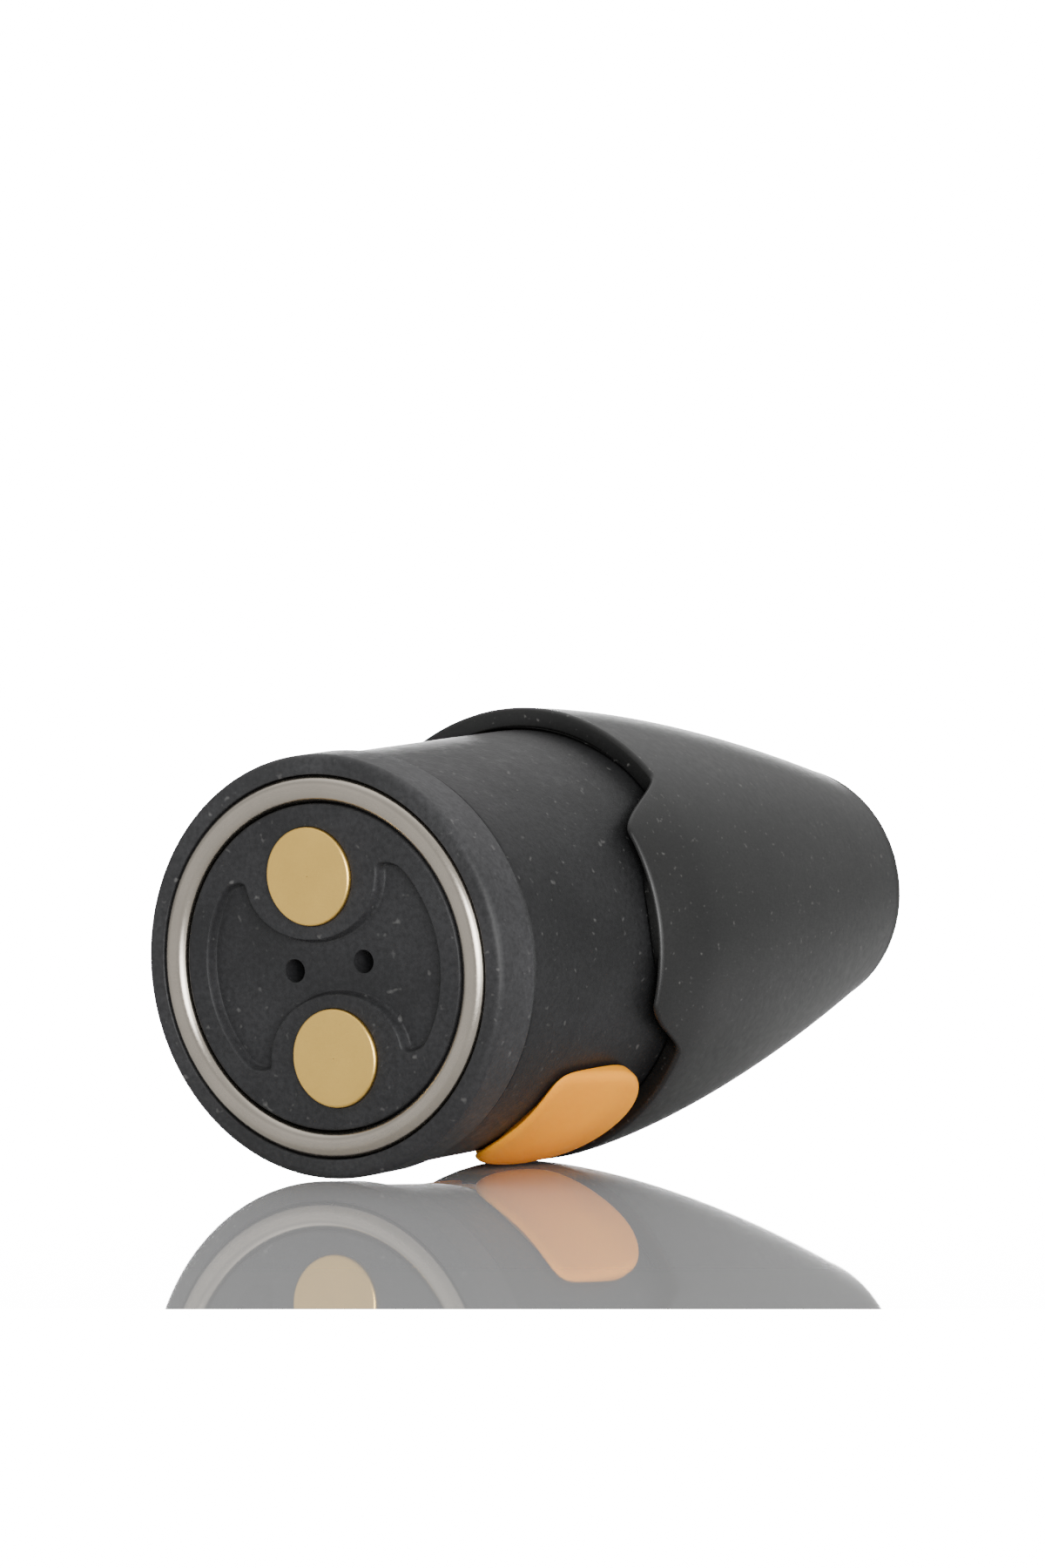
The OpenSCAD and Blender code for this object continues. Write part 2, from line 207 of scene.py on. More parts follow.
def arc(centre_r, centre_z, radius, start, end, steps):
    """Points on an arc in the (radius, height) plane; angles in degrees from the outward direction."""
    points = []
    for i in range(steps + 1):
        a = math.radians(start + (end - start) * i / steps)
        points.append((centre_r + radius * math.cos(a), centre_z + radius * math.sin(a)))
    return points


def rounded_outline(corners, steps=6):
    """A closed (radius, height) outline whose corners, given as (r, z, rounding), are rounded."""
    points = []
    count = len(corners)
    for i, (r, z, rounding) in enumerate(corners):
        here = Vector((r, z))
        if rounding <= 0:
            points.append((r, z))
            continue
        before = (Vector(corners[i - 1][:2]) - here).normalized()
        after = (Vector(corners[(i + 1) % count][:2]) - here).normalized()
        half = before.angle(after) / 2
        reach = rounding / math.tan(half)
        centre = here + (before + after).normalized() * (rounding / math.sin(half))
        start, end = here + before * reach - centre, here + after * reach - centre
        for k in range(steps + 1):
            t = k / steps
            spoke = (start * (1 - t) + end * t).normalized() * rounding
            points.append(tuple(centre + spoke))
    return points


def subdivided(outline, longest):
    """Splits the outline's long edges so that none is longer than longest."""
    points = []
    for i, (r, z) in enumerate(outline):
        r2, z2 = outline[(i + 1) % len(outline)]
        pieces = max(1, math.ceil(math.hypot(r2 - r, z2 - z) / longest))
        points += [(r + (r2 - r) * k / pieces, z + (z2 - z) * k / pieces) for k in range(pieces)]
    return points


def smoothstep(edge0, edge1, x):
    t = min(1, max(0, (x - edge0) / (edge1 - edge0)))
    return t * t * (3 - 2 * t)


def mix(a, b, t):
    return a + (b - a) * t


def apply_modifiers(thing):
    graph = bpy.context.evaluated_depsgraph_get()
    mesh = bpy.data.meshes.new_from_object(thing.evaluated_get(graph))
    thing.modifiers.clear()
    thing.data = mesh
    return thing


def cut(thing, cutters):
    """Cuts the cutters out of thing for good."""
    for cutter in cutters:
        modifier = thing.modifiers.new("cut", "BOOLEAN")
        modifier.operation = "DIFFERENCE"
        modifier.solver = "EXACT"
        modifier.object = cutter
    bpy.context.view_layer.update()
    apply_modifiers(thing)
    for cutter in cutters:
        bpy.data.objects.remove(cutter)
    return thing


def rod(name, radius, from_r, to_r, angle, z, sides=64):
    """A radial cylinder from one distance from the pod's axis to another."""
    mesh = bmesh.new()
    bmesh.ops.create_cone(mesh, cap_ends=True, segments=sides, radius1=radius, radius2=radius,
                          depth=to_r - from_r)
    place = (Matrix.Rotation(angle, 4, "Z") @ Matrix.Translation(((from_r + to_r) / 2, 0, z))
             @ Matrix.Rotation(math.pi / 2, 4, "Y"))
    mesh.transform(place)
    data = bpy.data.meshes.new(name)
    mesh.to_mesh(data)
    mesh.free()
    made = bpy.data.objects.new(name, data)
    bpy.context.scene.collection.objects.link(made)
    return made


# ---------------------------------------------------------------- materials

class Nodes:
    """Short hand for building one material's node tree."""

    def __init__(self, name):
        self.material = bpy.data.materials.new(name)
        self.material.use_nodes = True
        self.tree = self.material.node_tree
        self.shader = self.tree.nodes["Principled BSDF"]
        self.place = self.tree.nodes.new("ShaderNodeTexCoord").outputs["Object"]

    def add(self, kind, inputs=(), **settings):
        node = self.tree.nodes.new(kind)
        for key, value in settings.items():
            setattr(node, key, value)
        for socket, value in dict(inputs).items():
            if isinstance(value, bpy.types.NodeSocket):
                self.tree.links.new(value, node.inputs[socket])
            else:
                node.inputs[socket].default_value = value
        return node

    def set(self, **values):
        for key, value in values.items():
            self.shader.inputs[key.replace("_", " ")].default_value = value

    def link(self, output, socket):
        self.tree.links.new(output, self.shader.inputs[socket])

    def noise(self, scale, detail=2, roughness=0.5, place=None):
        made = self.add("ShaderNodeTexNoise", {"Vector": place or self.place, "Scale": scale,
                                               "Detail": detail, "Roughness": roughness})
        return made.outputs["Fac"]

    def ramp(self, factor, stops):
        """Colour ramp over factor, with stops of (position, grey level or colour)."""
        node = self.add("ShaderNodeValToRGB", {"Fac": factor})
        elements = node.color_ramp.elements
        while len(elements) < len(stops):
            elements.new(0.5)
        for element, (position, value) in zip(elements, stops):
            element.position = position
            colour = (value, value, value) if isinstance(value, (int, float)) else value
            element.color = (*colour, 1)
        return node.outputs["Color"]

    def spread(self, factor, low, high):
        """Maps a factor of 0..1 onto low..high."""
        return self.add("ShaderNodeMapRange", {"Value": factor, "To Min": low, "To Max": high}).outputs[0]

    def bump(self, height, strength, distance, normal=None):
        inputs = {"Height": height, "Strength": strength, "Distance": distance}
        if normal is not None:
            inputs["Normal"] = normal
        return self.add("ShaderNodeBump", inputs).outputs["Normal"]


def tint(colour, factor):
    return tuple(min(1, c * factor) for c in colour)


def moulded_plastic(name, colour, roughness, shine, grain, grain_scale, scuffs):
    """Dark moulded plastic: a fine spark-eroded grain, faint tone changes, dust and light scuffs."""
    m = Nodes(name)
    cloud = m.noise(220, 3)
    fine = m.noise(grain_scale, 2, 0.6)
    tone = m.add("ShaderNodeMath", {0: cloud, 1: fine}, operation="MULTIPLY").outputs[0]
    body = m.ramp(tone, [(0.14, tint(colour, 0.75)), (0.4, tint(colour, 1.3))])
    dust = m.ramp(m.noise(grain_scale * 0.6, 1, 0.5), [(0.7, 0), (0.82, 0.12)])
    dusty = m.add("ShaderNodeMix", {"Factor": dust, 6: body, 7: (0.5, 0.49, 0.47, 1)}, data_type="RGBA")
    m.link(dusty.outputs[2], "Base Color")
    scuff = m.ramp(m.noise(900, 6, 0.75), [(0.55, 0), (0.75, scuffs)])
    base = m.spread(m.noise(grain_scale * 0.45, 1, 0.5), roughness - 0.05, roughness + 0.06)
    rough = m.add("ShaderNodeMath", {0: base, 1: scuff}, operation="SUBTRACT").outputs[0]
    m.link(rough, "Roughness")
    m.link(m.bump(fine, grain, 0.02 * MM), "Normal")
    m.set(IOR=1.46, Specular_IOR_Level=shine)
    return m.material


def turned_metal(name, colour, roughness, scratch, grain_scale=9000):
    """Plated metal with fine concentric turning marks and a slight tarnish."""
    m = Nodes(name)
    split = m.add("ShaderNodeSeparateXYZ", {"Vector": m.place})
    square_x = m.add("ShaderNodeMath", {0: split.outputs[0], 1: split.outputs[0]}, operation="MULTIPLY")
    square = m.add("ShaderNodeMath", {0: split.outputs[1], 1: split.outputs[1], 2: square_x.outputs[0]},
                   operation="MULTIPLY_ADD")
    distance = m.add("ShaderNodeMath", {0: square.outputs[0]}, operation="SQRT").outputs[0]
    along = m.add("ShaderNodeCombineXYZ", {"X": distance, "Y": 0, "Z": split.outputs[2]}).outputs[0]
    lines = m.noise(grain_scale, 3, 0.6, place=along)
    grain = m.noise(grain_scale * 0.8, 2, 0.6)
    stain = m.noise(350, 4, 0.6)
    m.link(m.ramp(stain, [(0.3, tint(colour, 0.94)), (0.7, tint(colour, 1.04))]), "Base Color")
    both = m.add("ShaderNodeMath", {0: lines, 1: grain}, operation="ADD").outputs[0]
    m.link(m.spread(grain, roughness - 0.05, roughness + 0.07), "Roughness")
    m.link(m.bump(both, scratch, 0.008 * MM), "Normal")
    m.set(Metallic=1)
    return m.material


def silicone(name, colour):
    """Satin silicone: slightly translucent, with a faint skin texture and dust."""
    m = Nodes(name)
    cloud = m.noise(260, 3)
    m.link(m.ramp(cloud, [(0.3, tint(colour, 0.93)), (0.7, tint(colour, 1.07))]), "Base Color")
    m.link(m.spread(m.noise(1500, 3), 0.42, 0.56), "Roughness")
    skin = m.bump(m.noise(2600, 2), 0.1, 0.02 * MM)
    m.link(m.bump(m.noise(420, 2), 0.12, 0.08 * MM, skin), "Normal")
    m.set(IOR=1.41, Specular_IOR_Level=0.2, Subsurface_Weight=0.12, Subsurface_Scale=0.6 * MM)
    m.shader.inputs["Subsurface Radius"].default_value = (1, 0.45, 0.15)
    return m.material


def cotton(name, colour):
    """Loose cotton fibres."""
    m = Nodes(name)
    stretch = m.add("ShaderNodeMapping", {"Vector": m.place, "Scale": (1, 1, 0.25)}).outputs[0]
    fibres = m.noise(2400, 8, 0.75, place=stretch)
    m.link(m.ramp(fibres, [(0.3, tint(colour, 0.75)), (0.65, tint(colour, 1.1))]), "Base Color")
    m.link(m.spread(fibres, 0.85, 1), "Roughness")
    m.link(m.bump(fibres, 0.9, 0.12 * MM), "Normal")
    m.set(Sheen_Weight=0.3)
    return m.material


def ceramic(name, colour):
    """Unglazed insulator with a chalky surface."""
    m = Nodes(name)
    chalk = m.noise(1800, 5, 0.65)
    m.link(m.ramp(chalk, [(0.35, tint(colour, 0.9)), (0.65, tint(colour, 1.04))]), "Base Color")
    m.link(m.spread(chalk, 0.6, 0.75), "Roughness")
    m.link(m.bump(chalk, 0.3, 0.03 * MM), "Normal")
    return m.material


COLOURS = {m["slot"]: tuple(m["base_color"][:3]) for m in frame["record"]["materials"]}


def make_materials():
    """One material for each slot. The first value of each row scales the record's colour."""
    plastic = {                      # share, roughness, shine, grain, grain scale, scuffs
        "shell_plastic": (0.2, 0.40, 0.45, 0.12, 6500, 0.06),
        "tank_plastic": (0.6, 0.42, 0.22, 0.8, 4200, 0.12),
        "cap_plastic": (1.2, 0.44, 0.22, 0.6, 4200, 0.15),
        "insert_plastic": (1.3, 0.48, 0.2, 0.6, 4200, 0.12),
    }
    metal = {                        # share, roughness, scratch
        "ring_metal": (0.62, 0.24, 0.30),
        "contact_metal": (1, 0.36, 0.6),
        "coil_steel": (1, 0.26, 0.20),
        "coil_brass": (1, 0.30, 0.20),
        "mesh_alloy": (1, 0.42, 0.30),
    }
    made = {}
    for slot, (share, roughness, shine, grain, grain_scale, scuffs) in plastic.items():
        colour = tint(COLOURS[slot], share)
        made[slot] = moulded_plastic(slot, colour, roughness, shine, grain, grain_scale, scuffs)
    for slot, (share, roughness, scratch) in metal.items():
        made[slot] = turned_metal(slot, tint(COLOURS[slot], share), roughness, scratch)
    for slot in ("fill_silicone", "seal_silicone"):
        made[slot] = silicone(slot, COLOURS[slot])
    made["cotton"] = cotton("cotton", COLOURS["cotton"])
    made["ceramic_white"] = ceramic("ceramic_white", COLOURS["ceramic_white"])
    return made


MATERIALS = make_materials()


def finish_piece(piece, node, slot, body="pod", others=()):
    """Gives a new piece its slot's material and its body, and lets it stand for its CAD node."""
    piece.data.materials.clear()
    piece.data.materials.append(MATERIALS[slot])
    if body:
        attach(piece, body)
    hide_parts(node, *others)
    return piece


# ---------------------------------------------------------------- shell

def shell_r(z):
    """Outside radius of the shell at height z."""
    if z < BELLY_Z:
        return BELLY_R - SKIRT_FLARE * ((BELLY_Z - z) / SKIRT_RUN) ** 2
    t = (z - BELLY_Z) / (POD_LENGTH - MOUTH_ROUND - BELLY_Z)
    return BELLY_R - (BELLY_R - MOUTH_R) * t ** TAPER_POWER


def rim_z(x, y):
    """Height of the shell's edge above the point (x, y)."""
    window_top = FILL_WINDOW_Z if y > 0 else PLAIN_WINDOW_Z
    edge = window_top - CORNER_DROP * min(1, abs(x) / CORNER_X) ** 2
    t = min(1, max(0, (RAMP_X - abs(x)) / (RAMP_X - CORNER_X)))
    eased = mix(t, smoothstep(0, 1, t), 0.7)
    return mix(TONGUE_Z, edge, eased)


def shell_outline(angle):
    """The shell's closed section at one angle round the pod."""
    outer_steps, inner_steps, bore_steps = 64, 26, 12
    lip, inner_lip, dish = 0.2 * MM, 0.1 * MM, 0.12 * MM
    outlet_z = POD_LENGTH - dish - OUTLET_CHAMFER
    cosine, sine = math.cos(angle), math.sin(angle)
    outer_z = rim_z(shell_r(14 * MM) * cosine, sine)
    inner_z = rim_z(LIP_BORE_R * cosine, sine)
    outer_r = shell_r(outer_z)
    points = arc(LIP_BORE_R + inner_lip, inner_z + inner_lip, inner_lip, 180, 270, 4)
    points += arc(outer_r - lip, outer_z + lip, lip, 270, 360, 6)
    start_z, end_z = outer_z + lip, POD_LENGTH - MOUTH_ROUND
    for i in range(1, outer_steps + 1):
        z = mix(start_z, end_z, i / outer_steps)
        points.append((shell_r(z), z))
    points += arc(MOUTH_R - MOUTH_ROUND, end_z, MOUTH_ROUND, 12, 90, 10)
    for i in range(1, 6):
        r = mix(MOUTH_R - MOUTH_ROUND, OUTLET_R + OUTLET_CHAMFER, i / 6)
        points.append((r, POD_LENGTH - dish * math.sin(math.pi / 2 * i / 6)))
    points += arc(OUTLET_R + OUTLET_CHAMFER, outlet_z, OUTLET_CHAMFER, 90, 180, 5)
    for i in range(1, bore_steps + 1):
        points.append((OUTLET_R, mix(outlet_z, SPIGOT_Z, i / bore_steps)))
    ceiling = POD_LENGTH - 2.4 * MM
    for i in range(bore_steps + 1):
        points.append((SPIGOT_R, mix(SPIGOT_Z, ceiling, i / bore_steps)))
    for i in range(inner_steps + 1):
        z = mix(ceiling, SHOULDER_Z, i / inner_steps)
        points.append((min(LIP_BORE_R, shell_r(z) - SHELL_WALL), z))
    for i in range(1, 5):
        points.append((LIP_BORE_R, mix(SHOULDER_Z, inner_z + inner_lip, i / 5)))
    return points


def make_shell():
    shell = swept("mouthpiece_shell_skin", shell_outline, len(shell_outline(0)), 480)
    finish_piece(shell, "mouthpiece_shell", "shell_plastic")


# ---------------------------------------------------------------- tank

def curved_band(name, inner_r, outer_r, start, end, half_width, rounding=0, steps=40, across=12):
    """A band round the pod at the plug's height, with its outer edges eased by rounding."""
    layer = (steps + 1) * (across + 1)
    row = across + 1
    vertices = []
    for r in (outer_r, inner_r):
        for i in range(steps + 1):
            angle = mix(start, end, i / steps)
            for k in range(row):
                v = mix(-half_width, half_width, k / across)
                eased = r - rounding * (abs(v) / half_width) ** 6 if r == outer_r else r
                vertices.append((eased * math.cos(angle), eased * math.sin(angle), PLUG_Z + v))
    faces = []
    for i in range(steps):
        for k in range(across):
            a = i * row + k
            faces.append((a, a + 1, a + row + 1, a + row))
            faces.append((layer + a, layer + a + row, layer + a + row + 1, layer + a + 1))
        for k in (0, across):
            a = i * row + k
            faces.append((a, a + row, layer + a + row, layer + a))
    for i in (0, steps):
        for k in range(across):
            a = i * row + k
            faces.append((a, a + 1, layer + a + 1, layer + a))
    return outward(new_object(name, vertices, faces))


def make_tank():
    bore_r = TANK_R - TANK_WALL
    taper_z, shoulder_r, shoulder_z = 16.4 * MM, 8.4 * MM, 19.2 * MM
    neck_z, neck_r = 23.4 * MM, 6.7 * MM
    hole_r, top_wall = 2.6 * MM, 1.1 * MM
    outline = rounded_outline([
        (bore_r, SEAM_Z, 0),
        (TANK_R, SEAM_Z, 0.25 * MM),
        (TANK_R, taper_z, 0.3 * MM),
        (shoulder_r, shoulder_z, 0.3 * MM),
        (neck_r, neck_z, 0.2 * MM),
        (neck_r, TANK_TOP_Z, 0.2 * MM),
        (hole_r, TANK_TOP_Z, 0),
        (hole_r, TANK_TOP_Z - top_wall, 0),
        (neck_r - TANK_WALL, TANK_TOP_Z - top_wall, 0),
        (neck_r - TANK_WALL, neck_z, 0),
        (shoulder_r - TANK_WALL, shoulder_z, 0),
        (bore_r, taper_z, 0),
    ])
    tank = turned("tank_body_skin", subdivided(outline, 0.6 * MM), 360)
    seat_r, seat_depth = FILL_HOLE_R + 0.45 * MM, 0.25 * MM
    floor_r = STRAP_INNER_R - GROOVE_GAP
    cutters = [
        rod("hole", FILL_HOLE_R, TANK_R - 3 * MM, TANK_R + MM, PLUG_ANGLE, PLUG_Z),
        rod("seat", seat_r, TANK_R - seat_depth, TANK_R + MM, PLUG_ANGLE, PLUG_Z),
        rod("anchor_hole", 0.72 * MM, TANK_R - 3 * MM, TANK_R + MM, ANCHOR_ANGLE, PLUG_Z),
        rod("anchor_seat", ANCHOR_HEAD_R + GROOVE_GAP, floor_r - 0.06 * MM, TANK_R + MM, ANCHOR_ANGLE,
            PLUG_Z),
        curved_band("groove", floor_r, TANK_R + MM, GROOVE_START, ANCHOR_ANGLE,
                    STRAP_HALF_WIDTH + GROOVE_GAP),
    ]
    cut(tank, cutters)
    soften(tank, math.radians(35))
    finish_piece(tank, "tank_body", "tank_plastic")


# ---------------------------------------------------------------- base

def make_cap():
    bore_r = RING_R + 0.05 * MM
    collar_r = TANK_R - TANK_WALL - 0.08 * MM
    collar_bore_r = collar_r - 1.05 * MM
    insert_hole_r, ring_seat_z, collar_top_z = 5.45 * MM, 2 * MM, 5.2 * MM
    seam = SEAM_Z - 0.05 * MM
    outline = rounded_outline([
        (insert_hole_r, ring_seat_z, 0),
        (bore_r, ring_seat_z, 0),
        (bore_r, CAP_FACE_Z, 0.08 * MM),
        (CAP_R, CAP_FACE_Z, CAP_ROUND),
        (CAP_R, seam, 0.25 * MM),
        (collar_r, seam, 0),
        (collar_r, collar_top_z, 0),
        (collar_bore_r, collar_top_z, 0),
        (collar_bore_r, seam, 0),
        (insert_hole_r, seam, 0),
    ], 8)
    cap = turned("base_cap_skin", subdivided(outline, 0.8 * MM), 320)
    finish_piece(cap, "base_cap", "cap_plastic")


def make_ring():
    outline = rounded_outline([
        (RING_BORE_R, 0, RING_ROUND),
        (RING_R, 0, RING_ROUND),
        (RING_R, RING_BACK_Z, 0.1 * MM),
        (RING_BORE_R, RING_BACK_Z, 0.1 * MM),
    ], 8)
    ring = turned("magnet_ring_skin", subdivided(outline, 0.5 * MM), 320)
    finish_piece(ring, "magnet_ring", "ring_metal")


def contact_outline():
    stem_r, pad_thickness = 1.1 * MM, 0.88 * MM
    return rounded_outline([
        (0.02 * MM, 0, 0),
        (PAD_R, 0, 0.12 * MM),
        (PAD_R, pad_thickness, 0),
        (stem_r, pad_thickness, 0),
        (stem_r, top("contact_positive"), 0),
        (0.02 * MM, top("contact_positive"), 0),
    ], 5)


def make_contact(node, side):
    contact = turned(node + "_skin", subdivided(contact_outline(), 0.4 * MM), 128)
    contact.data.transform(Matrix.Translation((0, side * PAD_Y, 0)))
    finish_piece(contact, node, "contact_metal")


def recess_distance(x, y):
    """Signed distance, roughly, to the bow-tie recess's outline: negative inside it."""
    x, y = abs(x), abs(y)
    from_rim = math.hypot(x, y) - RECESS_R
    from_boss = (1 - math.hypot(x / BOSS.x, (y - BOSS_Y) / BOSS.y)) * BOSS.y
    return smooth_max(from_rim, smooth_max(from_boss, y - RECESS_Y, 0.3 * MM), 0.45 * MM)


def smooth_max(a, b, width):
    h = max(0, width - abs(a - b)) / width
    return max(a, b) + h * h * width / 4


def insert_face_z(x, y):
    """Height of the insert's face, with the recess pressed into it."""
    wall = 0.09 * MM
    depth = 1 - smoothstep(-wall, wall, recess_distance(x, y))
    return CAP_FACE_Z + RECESS_DEPTH * depth


def make_insert():
    """The insert: a disc whose face is a fine polar grid, closed by its sides and back."""
    columns, rings, round_steps = 480, 170, 4
    edge, pin_hole_r = 0.12 * MM, 0.03 * MM
    boss_r, boss_z = 5.4 * MM, 3.4 * MM
    vertices = []
    for i in range(rings):
        r = mix(pin_hole_r, INSERT_R - edge, i / (rings - 1))
        for j in range(columns):
            a = TAU * j / columns
            x, y = r * math.cos(a), r * math.sin(a)
            vertices.append((x, y, insert_face_z(x, y)))
    tail = []
    for k in range(1, round_steps + 1):
        turn = math.pi / 2 * k / round_steps
        tail.append((INSERT_R - edge + edge * math.sin(turn),
                     CAP_FACE_Z + edge - edge * math.cos(turn)))
    tail += [(INSERT_R, RING_BACK_Z), (boss_r, RING_BACK_Z), (boss_r, boss_z), (pin_hole_r, boss_z)]
    for r, z in tail:
        for j in range(columns):
            a = TAU * j / columns
            vertices.append((r * math.cos(a), r * math.sin(a), z))
    faces = loop_faces(rings + len(tail), columns, False)
    total = rings + len(tail)
    faces.append(tuple(range(columns)))
    faces.append(tuple(range((total - 1) * columns, total * columns)))
    insert = outward(new_object("contact_insert_skin", vertices, faces))
    cutters = []
    for side in (-1, 1):
        cutters.append(disc("air", AIR_HOLE_R, side * AIR_HOLE_X, 0, CAP_FACE_Z - MM, 5 * MM, 48))
        cutters.append(disc("pad", PAD_R + 0.03 * MM, 0, side * PAD_Y, CAP_FACE_Z - MM, 0.9 * MM, 96))
    cut(insert, cutters)
    soften(insert, math.radians(50))
    finish_piece(insert, "contact_insert", "insert_plastic")


def disc(name, radius, x, y, low, high, sides):
    mesh = bmesh.new()
    bmesh.ops.create_cone(mesh, cap_ends=True, segments=sides, radius1=radius, radius2=radius,
                          depth=high - low)
    mesh.transform(Matrix.Translation((x, y, (low + high) / 2)))
    data = bpy.data.meshes.new(name)
    mesh.to_mesh(data)
    mesh.free()
    made = bpy.data.objects.new(name, data)
    bpy.context.scene.collection.objects.link(made)
    return made


# ---------------------------------------------------------------- fill plug

def make_plug():
    """The silicone plug, strap and stud as one piece."""
    columns, rings, squareness = 144, 16, 8
    half_width, half_height = PILL_WIDTH / 2, PLUG_HALF_HEIGHT

    def outline(t, inset):
        """Point on the plug's rounded outline, drawn in from its edge by inset."""
        x, y = math.cos(TAU * t), math.sin(TAU * t)
        across = (x - y) / math.sqrt(2) / (PLUG_ACROSS / 2 - inset)
        sides = (x / (half_width - inset), y / (half_height - inset), across)
        reach = sum(abs(side) ** squareness for side in sides) ** (-1 / squareness)
        return reach * x, reach * y

    def place(u, v, r):
        """The point u round the pod from the plug's middle and v above it, at radius r."""
        angle = PILL_ANGLE + math.asin(max(-1, min(1, u / PLUG_MIDDLE_R)))
        return (r * math.cos(angle), r * math.sin(angle), PLUG_Z + v)

    def face_r(v):
        t = (v + half_height) / (2 * half_height)
        return mix(PLUG_LOW_R, PLUG_HIGH_R, smoothstep(-0.1, 0.75, t))

    def add_row(inset, radius_at, shrink=1):
        for j in range(columns):
            u, v = outline(j / columns, inset)
            u, v = u * shrink, v * shrink
            vertices.append(place(u, v, radius_at(v)))

    edge, edge_steps, foot, foot_rise, crown = 0.42 * MM, 6, 0.12 * MM, 0.1 * MM, 0.05 * MM
    vertices = []
    add_row(foot, lambda v: PLUG_INNER_R)
    add_row(0, lambda v: PLUG_INNER_R + foot_rise)
    for k in range(edge_steps + 1):
        turn = math.pi / 2 * k / edge_steps
        rise = math.sin(turn)
        add_row(edge * (1 - math.cos(turn)),
                lambda v: mix(max(PLUG_INNER_R + foot, face_r(v) - edge * 0.8), face_r(v), rise))
    for k in range(1, rings + 1):
        t = k / rings
        add_row(edge, lambda v: face_r(v) + crown * smoothstep(0, 1, t), 1 - t)
    faces = loop_faces(len(vertices) // columns, columns, False)
    faces.append(tuple(range(columns)))
    pill = outward(new_object("pill", vertices, faces))
    bmesh_merge(pill, 0.002 * MM)

    joined = [
        curved_band("strap", STRAP_INNER_R, STRAP_OUTER_R, STRAP_START, ANCHOR_ANGLE, STRAP_HALF_WIDTH,
                    0.06 * MM, 56),
        curved_band("foot", STRAP_INNER_R + 0.1 * MM, PLUG_INNER_R + 0.15 * MM,
                    STRAP_START + math.radians(0.2), STRAP_START + math.radians(3),
                    STRAP_HALF_WIDTH - 0.15 * MM, 0, 6),
        rod("head", ANCHOR_HEAD_R, STRAP_INNER_R - 0.03 * MM, STRAP_OUTER_R, ANCHOR_ANGLE, PLUG_Z, 64),
        rod("stud", 0.7 * MM, TANK_R - 1.5 * MM, STRAP_OUTER_R - 0.1 * MM, ANCHOR_ANGLE, PLUG_Z, 32),
        rod("stem", STEM_R, TANK_R - TANK_WALL - 0.05 * MM, PLUG_INNER_R + 0.1 * MM, PLUG_ANGLE,
            PLUG_Z, 48),
    ]
    join(pill, joined)
    pill.name = "fill_plug_skin"
    soften(pill, math.radians(50))
    finish_piece(pill, "fill_plug", "fill_silicone", body=None, others=("plug_anchor",))
    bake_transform(pill)


def join(thing, others):
    """Adds the other meshes to thing's own, and removes them."""
    mesh = bmesh.new()
    for part in (thing, *others):
        mesh.from_mesh(part.data)
    mesh.to_mesh(thing.data)
    mesh.free()
    for other in others:
        bpy.data.objects.remove(other)


def bmesh_merge(thing, distance):
    """Welds the vertices that lie within distance of each other."""
    mesh = bmesh.new()
    mesh.from_mesh(thing.data)
    bmesh.ops.remove_doubles(mesh, verts=mesh.verts, dist=distance)
    mesh.to_mesh(thing.data)
    mesh.free()


# ---------------------------------------------------------------- inner pieces keep their CAD shape

def paint_inner_nodes():
    slots = {s["node"]: s["material_slot"] for s in frame["record"]["subparts"]}
    for name, thing in frame["nodes"].items():
        thing.data.materials.clear()
        thing.data.materials.append(MATERIALS[slots[name]])


# ---------------------------------------------------------------- stage, lights and camera

SIGHT_TILT = math.radians(33.3)      # between the line of sight and the pod's axis
ROLL = math.radians(8.34)            # of the pod's axis, above the picture's horizontal
CAMERA_DISTANCE = 450 * MM
LENS_MM = 245.4
AIM_RIGHT = 8.525 * MM               # from the contact face's centre to the picture's centre
AIM_UP = 7.737 * MM
TABLE_FRONT = 79 * MM                # the table's near edge, in front of the pod

RIGHT = Vector((math.cos(SIGHT_TILT) * math.cos(ROLL), math.sin(ROLL),
                math.sin(SIGHT_TILT) * math.cos(ROLL)))
UP = Vector((math.cos(SIGHT_TILT) * math.sin(ROLL), -math.cos(ROLL),
             math.sin(SIGHT_TILT) * math.sin(ROLL)))
AHEAD = Vector((-math.sin(SIGHT_TILT), 0, math.cos(SIGHT_TILT)))

BACKGROUND = 24                      # strength of the white that the camera sees
SKY = (0.25, 0.8)                    # light from below, and from above
LIGHT_LOBES = (                      # direction, inner and outer angle, strength
    (AHEAD, 8, 13, 24),
    (Vector((AHEAD.x, 0, -AHEAD.z)), 10, 45, 0.45),
    (UP + AHEAD * 0.3, 15, 60, 0.8),
    (RIGHT * 0.8 - AHEAD * 0.6, 12, 34, 3.6),
    (Vector((1, 0, -1)), 9, 24, 14),
)


def make_camera():
    data = bpy.data.cameras.new("camera")
    data.lens = LENS_MM
    data.sensor_width = 36
    data.clip_start, data.clip_end = 0.01, 20
    camera = bpy.data.objects.new("camera", data)
    bpy.context.scene.collection.objects.link(camera)
    place = RIGHT * AIM_RIGHT + UP * AIM_UP - AHEAD * CAMERA_DISTANCE
    turn = Matrix((RIGHT, UP, -AHEAD)).transposed()
    camera.matrix_world = Matrix.Translation(place) @ turn.to_4x4()
    bpy.context.scene.camera = camera


